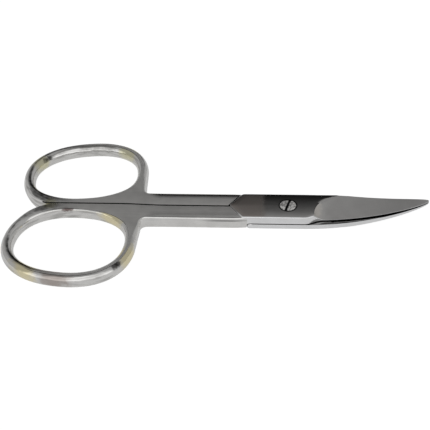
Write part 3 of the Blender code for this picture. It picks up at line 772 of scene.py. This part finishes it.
def blade_ring(build, along):
    """One ring round the ground blade: outer row, inner row, spine column and edge column."""
    half = build.half
    shares = spaced(0, 1, WIDTH_STEPS)
    xs = [mixed(foot_across(share), TIP_REACH - TIP_BLUNT, along) for share in shares]
    past_foot = eased((xs[-1] - BEVEL_SPINE_REACH) / BEVEL_RUN_OUT)
    spine_inset = mixed(PLATE_EDGE, SPINE_EDGE, past_foot)
    edge_inset = PLATE_EDGE * bevel_depth(half, xs[0], edge_place(xs[0])) / half.plate
    outer, inner = [], []
    for x, share in zip(xs, shares):
        edge, spine = edge_place(x), spine_half_width(x)
        narrow = min(1.0, (spine - edge) / JOINT_HALF_WIDTH)
        s = mixed(edge + edge_inset * narrow, spine - spine_inset * narrow, share)
        outer.append(build.vert(x, s, bevel_depth(half, x, s)))
        s = mixed(edge + INNER_EDGE * narrow, spine - INNER_EDGE * narrow, share)
        inner.append(build.vert(x, s, hollow(x, s)))

    def column(x, wall, into, inset, ends):
        narrow = min(1.0, (spine_half_width(x) - edge_place(x)) / JOINT_HALF_WIDTH)
        top = bevel_depth(half, x, wall + into * inset * narrow)
        pairs = wall_profile(INNER_EDGE * narrow, min(inset * narrow, top * THIN_EDGE_SHARE), top)
        middle = [build.vert(x, wall + into * gap, depth) for gap, depth in pairs[1:-1]]
        return [ends[0], *middle, ends[1]]

    spine = column(xs[-1], spine_half_width(xs[-1]), -1, spine_inset, (inner[-1], outer[-1]))
    edge = column(xs[0], edge_place(xs[0]), 1, edge_inset, (inner[0], outer[0]))
    return outer, inner, spine, edge


def plate_outline(half):
    """The joint plate's plan, from the grind's foot at the spine round the back to its foot at the edge."""
    straight = min(BLADE_TAPER_START, CHOIL_START)
    start = Vector((straight, JOINT_HALF_WIDTH))
    end = Vector((straight, -JOINT_HALF_WIDTH))
    side = (-half.shoulder, JOINT_HALF_WIDTH)
    point = (-half.shoulder - SHOULDER_POINT, 0)
    other_side = (-half.shoulder, -JOINT_HALF_WIDTH)
    rounded = [(Vector(place), PLATE_CORNER) for place in (side, point, other_side)]
    back = filleted([(start, 0), *rounded, (end, 0)], FILLET_STEPS)
    spine = [Vector((x, spine_half_width(x))) for x in spaced(foot_across(1), start.x, SIDE_STEPS)]
    far = [Vector((x, start.y)) for x in spaced(start.x, back[1].x, SIDE_STEPS)]
    near = [Vector((x, end.y)) for x in spaced(back[-2].x, end.x, SIDE_STEPS)]
    edge = [Vector((x, edge_place(x))) for x in spaced(end.x, foot_across(0), SIDE_STEPS)]
    return spine[:-1] + far[:-1] + back[1:-1] + near[1:-1] + edge


def blade(half):
    """Joint plate and blade of one half: ground, hollowed, bent and bored."""
    build = BladeMesh(half)
    rings = [blade_ring(build, math.sin(QUARTER_TURN * share)) for share in spaced(0, 1, BLADE_STEPS)]
    surfaces = (GROUND_FACE, INNER_FACE, SIDE_FACE, SIDE_FACE)
    for first, second in zip(rings, rings[1:]):
        for row, next_row, surface in zip(first, second, surfaces):
            build.strip(row, next_row, surface)
    outer, inner, spine, edge = rings[-1]
    tip = edge + outer[1:] + spine[-2::-1] + inner[-2:0:-1]
    build.mesh.faces.new(tip).material_index = SIDE_FACE

    outer, inner, spine, edge = rings[0]
    outline = plate_outline(half)
    columns = [spine]
    for before, place, after in zip(outline, outline[1:], outline[2:]):
        travel = (place - before).normalized() + (after - place).normalized()
        inward = Vector((-travel.y, travel.x)).normalized()
        behind = eased((-place.x - half.shoulder + PLATE_CORNER) / PLATE_CORNER)
        rim = place + inward * PLATE_EDGE
        pairs = wall_profile(mixed(INNER_EDGE, SHOULDER_ROUND, behind), PLATE_EDGE, plate_depth(half, rim.y))
        columns.append([build.vert(*(place + inward * gap), depth) for gap, depth in pairs])
    columns.append(edge)
    for first, second in zip(columns, columns[1:]):
        build.strip(first, second, SIDE_FACE)

    bore = SCREW_SHAFT_RADIUS + PIVOT_CLEARANCE
    sunk = SCREW_HEAD_RADIUS + HEAD_CLEARANCE
    top_rim = [column[-1] for column in columns] + outer[1:-1]
    bottom_rim = [column[0] for column in columns] + inner[1:-1]
    mouth = build.disc(top_rim, sunk if half is UPPER else bore, lambda s: plate_depth(half, s), PLATE_FACE)
    hole = build.disc(bottom_rim, bore, lambda s: 0.0, INNER_FACE)
    if half is UPPER:
        seat = head_seat() - half.inner_face
        wide = build.level(mouth, sunk, seat)
        narrow = build.level(mouth, bore, seat)
        build.strip(mouth, wide, BORE_FACE, closed=True)
        build.strip(wide, narrow, BORE_FACE, closed=True)
        mouth = narrow
    build.strip(mouth, hole, BORE_FACE, closed=True)
    return mesh_object("blade", build.mesh)


def head_seat():
    """Height of the counterbore's floor in the upper plate."""
    return UPPER_FACE - SCREW_HEAD_SINK - SCREW_HEAD_RIM - PIVOT_CLEARANCE


def turned(outline):
    """A solid of revolution about Z, from (radius, height) pairs that start and end on the axis."""
    mesh = bmesh.new()
    verts = [mesh.verts.new((radius, 0, height)) for radius, height in outline]
    edges = [mesh.edges.new(pair) for pair in zip(verts, verts[1:])]
    bmesh.ops.spin(
        mesh,
        geom=verts + edges,
        cent=(0, 0, 0),
        axis=(0, 0, 1),
        angle=2 * math.pi,
        steps=TURN_STEPS,
        use_duplicate=False,
    )
    bmesh.ops.remove_doubles(mesh, verts=mesh.verts, dist=WELD)
    return mesh_object("screw", mesh)


def screw_mesh(steel):
    """A slotted screw with a domed head."""
    seat = head_seat() + PIVOT_CLEARANCE
    rim = seat + SCREW_HEAD_RIM
    outline = []
    for share in spaced(0, 1, 2 * ROUNDING_STEPS):
        angle = QUARTER_TURN * share
        dome_radius = SCREW_HEAD_RADIUS - SCREW_HEAD_EASE + SCREW_HEAD_EASE * share
        outline.append((dome_radius * math.sin(angle), rim + SCREW_DOME * math.cos(angle)))
    outline += [
        (SCREW_HEAD_RADIUS, seat),
        (SCREW_SHAFT_RADIUS, seat),
        (SCREW_SHAFT_RADIUS, SCREW_END_RECESS),
        (0, SCREW_END_RECESS),
    ]
    screw = turned(outline)
    slot = bmesh.new()
    bmesh.ops.create_cube(slot, size=1.0)
    bmesh.ops.scale(
        slot,
        verts=slot.verts,
        vec=(2 * (SCREW_HEAD_RADIUS + OVERRUN), SCREW_SLOT_WIDTH, 2 * SCREW_SLOT_DEPTH),
    )
    bmesh.ops.rotate(slot, verts=slot.verts, matrix=Matrix.Rotation(SCREW_SLOT_ANGLE, 3, "Z"))
    bmesh.ops.translate(slot, verts=slot.verts, vec=(0, 0, rim + SCREW_DOME))
    combined(screw, "DIFFERENCE", mesh_object("screw_slot", slot))
    screw.data.materials.append(steel)
    return screw


def placed(obj, name, body, node):
    """Names a piece, moves it to the pivot's place, shades it, ties it to its body and hides the CAD node
    that it stands for.
    """
    obj.name = name
    mesh = bmesh.new()
    mesh.from_mesh(obj.data)
    bmesh.ops.dissolve_degenerate(mesh, edges=mesh.edges, dist=WELD)
    bmesh.ops.scale(mesh, verts=mesh.verts, vec=FIT)
    bmesh.ops.translate(mesh, verts=mesh.verts, vec=(PIVOT_X, 0, 0))
    mesh.to_mesh(obj.data)
    mesh.free()
    obj.data.shade_smooth()
    obj.data.set_sharp_from_angle(angle=SHARP_ANGLE)
    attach(obj, body)
    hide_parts(node)


def half_mesh(half, steels):
    """Blade, plate and handle of one half as one closed mesh."""
    body = blade(half)
    grip = handle(half)
    for obj in (body, grip):
        for steel in steels:
            obj.data.materials.append(steel)
    for polygon in grip.data.polygons:
        polygon.material_index = HANDLE_FACE
    combined(body, "UNION", grip)
    return body


class Shader:
    """A small helper that adds nodes to one node tree."""

    def __init__(self, tree):
        self.tree = tree

    def node(self, kind, inputs=None, **settings):
        made = self.tree.nodes.new(kind)
        for name, value in settings.items():
            setattr(made, name, value)
        for key, value in (inputs or {}).items():
            if isinstance(value, bpy.types.NodeSocket):
                self.tree.links.new(value, made.inputs[key])
            else:
                made.inputs[key].default_value = value
        return made

    def math(self, operation, *values):
        return self.node("ShaderNodeMath", dict(enumerate(values)), operation=operation).outputs[0]

    def product(self, first, *others):
        for other in others:
            first = self.math("MULTIPLY", first, other)
        return first

    def vector_math(self, operation, output, *values):
        made = self.node("ShaderNodeVectorMath", dict(enumerate(values)), operation=operation)
        return made.outputs[output]

    def coordinates(self):
        return self.node("ShaderNodeTexCoord").outputs

    def axes(self, vector):
        return self.node("ShaderNodeSeparateXYZ", {0: vector}).outputs

    def band(self, value, low, high, first=0.0, last=1.0):
        """A smooth ramp from first to last as the value goes from low to high."""
        inputs = {"Value": value, "From Min": low, "From Max": high, "To Min": first, "To Max": last}
        return self.node("ShaderNodeMapRange", inputs, interpolation_type="SMOOTHSTEP").outputs[0]

    def fall(self, value, low, high):
        return self.band(value, low, high, 1.0, 0.0)

    def blend(self, share, first, last):
        return self.band(share, 0.0, 1.0, first, last)

    def mix(self, share, first, second):
        """A colour between two others."""
        inputs = dict(zip(MIX_COLOUR_INPUTS, (share, first, second)))
        return self.node("ShaderNodeMix", inputs, data_type="RGBA").outputs[MIX_COLOUR_OUTPUT]

    def ramp(self, value, stops):
        """A grey level that follows (place, level) stops, of which the first is at 0 and the last at 1."""
        made = self.node("ShaderNodeValToRGB", {0: value})
        elements = made.color_ramp.elements
        for place, _ in stops[1:-1]:
            elements.new(place)
        for element, (_, level) in zip(elements, stops):
            element.color = (level, level, level, 1.0)
        return made.outputs[0]

    def noise(self, vector, kind, scale=1.0):
        detail, roughness = kind
        inputs = {"Vector": vector, "Scale": scale, "Detail": detail, "Roughness": roughness}
        return self.node("ShaderNodeTexNoise", inputs).outputs["Fac"]

    def drawn_noise(self, scale, kind):
        """Noise over the piece, with a scale along each axis."""
        inputs = {"Vector": self.coordinates()["Object"], "Scale": scale}
        return self.noise(self.node("ShaderNodeMapping", inputs).outputs[0], kind)


def steel_shader(name):
    """A new metallic material with its helper and its surface node."""
    material = bpy.data.materials.new(name)
    material.use_nodes = True
    surface = material.node_tree.nodes["Principled BSDF"]
    surface.inputs["Metallic"].default_value = 1.0
    return material, Shader(material.node_tree), surface


def finish_surface(shader, surface, colour, roughness, height):
    """Links a colour, a roughness and a bump height to the surface."""
    bump = shader.node("ShaderNodeBump", {"Height": height, "Strength": 1.0, "Distance": BUMP_UNIT})
    for socket, value in (("Base Color", colour), ("Roughness", roughness), ("Normal", bump.outputs[0])):
        shader.tree.links.new(value, surface.inputs[socket])


def cloudy(shader, colour, spread, grain):
    """A colour that varies a little with the grinding lines and with faint clouds."""
    clouds = shader.drawn_noise(CLOUD_SCALE, CLOUD_NOISE)
    darker = tuple(channel * (1 - spread) for channel in colour) + (1.0,)
    lighter = tuple(min(1.0, channel * (1 + spread)) for channel in colour) + (1.0,)
    share = shader.band(shader.math("ADD", grain, clouds), *TWO_NOISES_SPAN)
    return shader.mix(share, darker, lighter), clouds


def uneven(shader, clouds, roughness, swing):
    return shader.band(clouds, *NOISE_SPAN, roughness * (1 - swing), roughness * (1 + swing))


def near_spot(shader, place, radius):
    """A patch about a place on the piece, ragged at its edge."""
    point = shader.coordinates()["Object"]
    distance = shader.vector_math("DISTANCE", "Value", point, Vector(place))
    ragged = shader.noise(point, SPOT_NOISE, SPOT_SCALE / radius)
    distance = shader.product(distance, shader.math("MULTIPLY_ADD", ragged, *SPOT_SWING))
    return shader.fall(distance, *(radius * share for share in SPOT_SPAN))


def dull_end_with_warm_reflection(shader):
    """The end of the joint plate towards the handles, ragged where it fades, where the steel is rougher and
    a warm reflection is painted.
    """
    point = shader.coordinates()["Object"]
    ragged = shader.product(shader.noise(point, WAVE_NOISE, RAGGED_SCALE), DULL_RAGGED)
    along = shader.math("ADD", shader.axes(point)["X"], ragged)
    dull_x = PIVOT_X - DULL_FROM_PIVOT
    return shader.fall(along, dull_x, dull_x + DULL_FADE)


def steel_material(name, colour, roughness, grain_scale, grain_depth, painted_tints, dulled_with_reflection):
    """Bare steel: fine grinding lines drawn out along one axis, a faint cloudiness, soft painted patches of
    reflection, and where asked a dull end with a painted warm reflection.
    """
    material, shader, surface = steel_shader(name)
    lines = shader.drawn_noise(grain_scale, LINE_NOISE)
    tone, clouds = cloudy(shader, colour, STEEL_CLOUDS, lines)
    rough = uneven(shader, clouds, roughness, STEEL_ROUGHNESS_SWING)
    # Painted patches of reflection
    for place, radius, painted_tint in painted_tints:
        tone = shader.mix(near_spot(shader, place, radius), tone, painted_tint)
    # The dull end: rougher, with a painted warm reflection
    if dulled_with_reflection:
        dull_and_reflection = dull_end_with_warm_reflection(shader)
        tone = shader.mix(dull_and_reflection, tone, DULL_WARM_REFLECTION_COLOUR)
        rough = shader.blend(dull_and_reflection, rough, DULL_ROUGHNESS)
    finish_surface(shader, surface, tone, rough, shader.product(lines, grain_depth))
    return material


def painted_gap_shade(shader, coordinates):
    """Painted shade in the mouth of the narrow gap between the closed handles, and at the far end of the
    pocket.
    """
    place = shader.axes(coordinates["Object"])
    facing = shader.axes(coordinates["Normal"])
    off_centre = shader.math("ABSOLUTE", place["Y"])
    mouth = SHANK_MIDDLE + SHANK_THICKNESS / 2 - CREVICE_DEPTH
    gap = shader.product(
        shader.fall(off_centre, CREVICE_REACH * CREVICE_FADE_SHARE, CREVICE_REACH),
        shader.band(place["Z"], mouth, mouth + CREVICE_DEPTH / 2),
        shader.band(shader.math("ABSOLUTE", facing["Y"]), *GAP_FACING_Y),
    )
    pocket = shader.product(
        near_spot(shader, POCKET_PLACE, POCKET_REACH),
        shader.fall(facing["Z"], *POCKET_FACING_Z),
        shader.fall(facing["Y"], *POCKET_FACING_Y),
    )
    return shader.math("MAXIMUM", gap, pocket)


def polishing_lines(shader, coordinates):
    """Noise drawn out along the bows, a different stretch of it on each."""
    place = shader.axes(coordinates["Object"])
    ahead = shader.math("SUBTRACT", place["X"], PIVOT_X + BOW_MIDDLE[0])
    aside = shader.math("SUBTRACT", shader.math("ABSOLUTE", place["Y"]), BOW_MIDDLE[1])
    x = shader.math("DIVIDE", ahead, BOW_HALF_LENGTH)
    v = shader.math("DIVIDE", aside, BOW_HALF_WIDTH)
    reach = shader.math("SQRT", shader.math("ADD", shader.product(x, x), shader.product(v, v)))
    across = shader.math("MULTIPLY_ADD", reach, LINES_ACROSS, shader.product(place["Z"], LINES_DOWN))
    on_lower = shader.math("GREATER_THAN", place["Y"], 0.0)
    across = shader.math("MULTIPLY_ADD", on_lower, LINES_SHIFT, across)
    around = [shader.product(shader.math("DIVIDE", axis, reach), LINES_AROUND) for axis in (x, v)]
    vector = shader.node("ShaderNodeCombineXYZ", dict(enumerate((*around, across)))).outputs[0]
    lines = shader.noise(vector, CLOUD_NOISE)
    crotch = PIVOT_X - CROTCH_REACH
    return shader.band(place["X"], crotch - LINES_FADE, crotch, lines, LINES_LEVEL)


def painted_dark_streak(shader, coordinates):
    """A faint painted dark streak along the near side of the front shank."""
    offset = shader.vector_math("SUBTRACT", "Vector", coordinates["Object"], Vector(STREAK_PLACE))
    scale = Vector((1 / STREAK_REACH[0], 0.0, 1 / STREAK_REACH[1]))
    distance = shader.vector_math("LENGTH", "Value", shader.vector_math("MULTIPLY", "Vector", offset, scale))
    facing = shader.fall(shader.axes(coordinates["Normal"])["Y"], *STREAK_FACING_Y)
    return shader.product(shader.band(distance, *STREAK_SPAN, STREAK_SHARE, 0.0), facing)


def handle_material():
    """Satin flats with lengthwise lines, and polished bows and edges with uneven reflections, painted tinted
    reflections and dark spots, painted shade in the gap between the handles and a painted dark streak on the
    front shank.
    """
    material, shader, surface = steel_shader("handle_steel")
    coordinates = shader.coordinates()
    place = shader.axes(coordinates["Object"])
    satin = shader.product(
        shader.band(shader.axes(coordinates["Normal"])["Z"], *SATIN_LEVEL),
        shader.band(place["X"], *(PIVOT_X + reach for reach in SATIN_FROM_PIVOT)),
    )
    lines = shader.drawn_noise(ALONG_LINES, LINE_NOISE)
    drawn = polishing_lines(shader, coordinates)
    polished_tone, clouds = cloudy(shader, POLISHED_COLOUR, POLISHED_CLOUDS, lines)
    lined = shader.band(drawn, LINES_DARKEST, LINES_LEVEL, LINES_SHARE, 0.0)
    polished_tone = shader.mix(lined, polished_tone, LINES_COLOUR)
    # Painted reflections on the bows: gold, olive and rose patches, dim grey patches over the far bow's
    # highlight, and dark and maroon spots
    for spot, radius, painted_tint in BOW_REFLECTION_TINTS:
        share = shader.product(near_spot(shader, spot, radius), BOW_REFLECTION_SHARE)
        polished_tone = shader.mix(share, polished_tone, painted_tint)
    satin_tone, _ = cloudy(shader, SATIN_COLOUR, SATIN_CLOUDS, lines)
    tone = shader.mix(satin, polished_tone, satin_tone)
    # Painted dark streak on the front shank's near side
    tone = shader.mix(painted_dark_streak(shader, coordinates), tone, PAINTED_DARK_TINT)
    # Painted shade in the gap between the handles and in the pocket
    tone = shader.mix(painted_gap_shade(shader, coordinates), tone, GAP_SHADE_COLOUR)

    side = shader.math("ABSOLUTE", place["Y"])
    crotch = PIVOT_X - CROTCH_REACH
    rubbed = shader.product(
        shader.band(side, SHANK_HALF_WIDTH - RUBBED_WIDTH, SHANK_HALF_WIDTH),
        shader.band(place["X"], crotch, crotch + RUBBED_FADE),
    )
    rough = uneven(shader, clouds, POLISHED_ROUGHNESS, BOW_ROUGHNESS_SWING)
    rough = shader.blend(satin, rough, SATIN_ROUGHNESS)
    rough = shader.blend(rubbed, rough, RUBBED_ROUGHNESS)

    waves = shader.drawn_noise(WAVE_SCALE, WAVE_NOISE)
    waves = shader.math("MULTIPLY_ADD", waves, WAVE_DEPTH, shader.product(drawn, LINES_DEPTH))
    waves = shader.product(waves, shader.math("SUBTRACT", 1.0, satin))
    height = shader.math("ADD", shader.product(lines, GRAIN_DEPTH), waves)
    finish_surface(shader, surface, tone, rough, height)
    return material


def screw_material():
    """Worn steel, with painted shade in the slot and round the head's rim."""
    material, shader, surface = steel_shader("screw_steel")
    axis = Vector((PIVOT_X, 0.0, 0.0))
    across_slot = Vector((-math.sin(SCREW_SLOT_ANGLE), math.cos(SCREW_SLOT_ANGLE), 0.0))
    from_axis = shader.vector_math("SUBTRACT", "Vector", shader.coordinates()["Object"], axis)
    off_line = shader.math("ABSOLUTE", shader.vector_math("DOT_PRODUCT", "Value", from_axis, across_slot))
    slot = shader.fall(off_line, *(SCREW_SLOT_WIDTH * share for share in SLOT_SHADE_SPAN))
    in_plan = shader.vector_math("MULTIPLY", "Vector", from_axis, Vector((1.0, 1.0, 0.0)))
    radius = shader.vector_math("LENGTH", "Value", in_plan)
    rim = shader.band(radius, *(SCREW_HEAD_RADIUS * share for share in RIM_SHADE_SPAN))
    pits = shader.drawn_noise(PIT_SCALE, SPOT_NOISE)
    tone = shader.mix(shader.band(pits, *PIT_SPAN), SCREW_PITTED, SCREW_BRIGHT)
    # Painted shade in the slot and in the gap round the head's rim
    tone = shader.mix(shader.math("MAXIMUM", slot, rim), tone, SCREW_SHADE)
    rough = shader.band(pits, *NOISE_SPAN, *SCREW_ROUGHNESS)
    finish_surface(shader, surface, tone, rough, shader.product(pits, PIT_DEPTH))
    return material


def world_light():
    """A bright room in front and overhead, a dark one low down behind, and plain white to the eye."""
    world = bpy.data.worlds.new("studio")
    bpy.context.scene.world = world
    world.use_nodes = True
    shader = Shader(world.node_tree)
    direction = shader.axes(shader.coordinates()["Generated"])
    off_middle = shader.math("ABSOLUTE", shader.math("ADD", direction["X"], DARK_OFF_MIDDLE))
    behind = shader.band(off_middle, *DARK_SPAN_X, shader.ramp(direction["Z"], ROOM_BEHIND), ROOM_BESIDE)
    front = shader.product(shader.ramp(direction["Z"], ROOM_FRONT), ROOM_FRONT_GAIN)
    share = shader.band(direction["Y"], *DARK_SPAN_Y)
    front = shader.product(front, shader.math("SUBTRACT", 1.0, share))
    level = shader.math("ADD", front, shader.product(behind, share))
    to_the_eye = shader.node("ShaderNodeLightPath").outputs["Is Camera Ray"]
    level = shader.blend(to_the_eye, level, ROOM_SEEN)
    background = world.node_tree.nodes["Background"]
    background.inputs["Color"].default_value = WHITE
    world.node_tree.links.new(level, background.inputs["Strength"])


def table_floor():
    """A white table: pure white to the eye, a little grey in reflections, with the scissors' soft shadow."""
    mesh = bmesh.new()
    bmesh.ops.create_circle(mesh, cap_ends=True, segments=TABLE_SEGMENTS, radius=TABLE_RADIUS)
    floor = mesh_object("table", mesh)
    floor.location.z = -TABLE_DROP
    material = bpy.data.materials.new("white_table")
    material.use_nodes = True
    tree = material.node_tree
    tree.nodes.clear()
    shader = Shader(tree)

    def diffuse(level):
        return shader.node("ShaderNodeBsdfDiffuse", {"Color": (level, level, level, 1.0)}).outputs[0]

    def glowing(reflectance, glow):
        emission = shader.node("ShaderNodeEmission", {"Strength": glow}).outputs[0]
        return shader.node("ShaderNodeAddShader", {0: diffuse(reflectance), 1: emission}).outputs[0]

    def either(share, first, second):
        return shader.node("ShaderNodeMixShader", {0: share, 1: first, 2: second}).outputs[0]

    path = shader.node("ShaderNodeLightPath").outputs
    reflected = shader.math("MAXIMUM", path["Is Glossy Ray"], path["Is Transmission Ray"])
    tone = either(reflected, diffuse(TABLE_PLAIN), glowing(*TABLE_MIRRORED))
    tone = either(path["Is Camera Ray"], tone, glowing(*TABLE_SEEN))
    output = shader.node("ShaderNodeOutputMaterial", {0: tone})
    output.is_active_output = True
    floor.data.materials.append(material)


def camera():
    """The photograph's view."""
    data = bpy.data.cameras.new("camera")
    data.sensor_width = CAMERA_SENSOR
    data.lens = CAMERA_LENS
    data.clip_start = CAMERA_CLIP_START
    obj = bpy.data.objects.new("camera", data)
    bpy.context.scene.collection.objects.link(obj)
    place = Matrix((CAMERA_RIGHT, CAMERA_UP, CAMERA_BACK)).transposed().to_4x4()
    place.translation = Vector((PIVOT_X, 0.0, 0.0)) + Vector(CAMERA_PLACE)
    obj.matrix_world = place
    bpy.context.scene.camera = obj


half_steels = [handle_material(), *(steel_material(*steel) for steel in STEELS)]
screw_steel = screw_material()

placed(half_mesh(UPPER, half_steels), "upper_scissor_half", "upper", "upper_half")
placed(half_mesh(LOWER, half_steels), "lower_scissor_half", "lower", "lower_half")
placed(screw_mesh(screw_steel), "slotted_screw", "lower", "pivot_screw")

world_light()
table_floor()
camera()
bpy.context.scene.view_settings.view_transform = "Standard"
